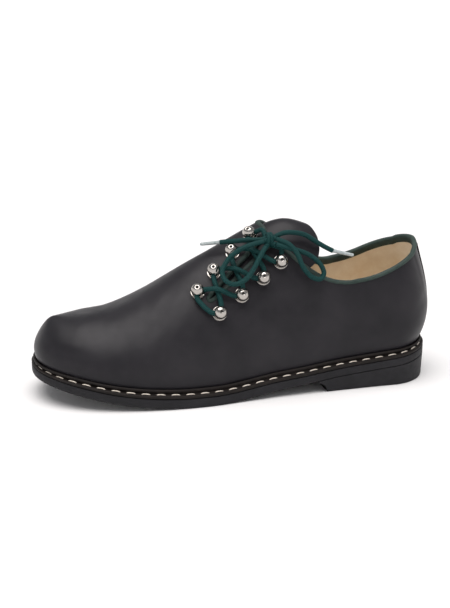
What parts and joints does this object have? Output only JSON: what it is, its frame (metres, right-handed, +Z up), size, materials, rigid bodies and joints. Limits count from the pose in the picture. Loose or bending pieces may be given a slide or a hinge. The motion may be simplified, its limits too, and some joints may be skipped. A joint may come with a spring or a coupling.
{
  "type": "haferl shoe",
  "caption": "Low leather folk shoe with a slanted lace slit on its outer side, ball-shaped lace eyelets, piped edges and a stitched welt above a heeled sole.",
  "frame": {"origin": "middle of the shoe's bounding box in plan, without the bow, on the plane that the sole stands on", "axes": "+X from the toe to the heel, +Y to the inner side of the foot, +Z up"},
  "size_m": [0.3058, 0.1066, 0.1235],
  "materials": {
    "leather": "smooth dark grey leather with a soft sheen",
    "sole": "dull dark grey rubber",
    "welt": "dark brown-grey, stitched in cream",
    "insole": "undyed, matt",
    "binding": "grey-green, matt",
    "eyelet": "polished nickel",
    "lace": "waxed dark green cord",
    "aglet": "clear film"
  },
  "bodies": {
    "root": {"outsole": "sole", "heel": "sole", "welt": "welt", "insole": "insole", "upper": "leather", "back_strip": "leather", "tongue": "leather", "edge_binding": "binding", "eyelet_1": "eyelet", "eyelet_2": "eyelet", "eyelet_3": "eyelet", "eyelet_4": "eyelet", "eyelet_5": "eyelet", "eyelet_6": "eyelet", "eyelet_7": "eyelet", "eyelet_8": "eyelet", "lace_crossings": "lace", "lace_knot": "lace", "lace_end_front": "lace", "lace_end_back": "lace", "lace_loop_front": "lace", "lace_loop_back": "lace", "aglet_front": "aglet", "aglet_back": "aglet"}
  },
  "joints": []
}
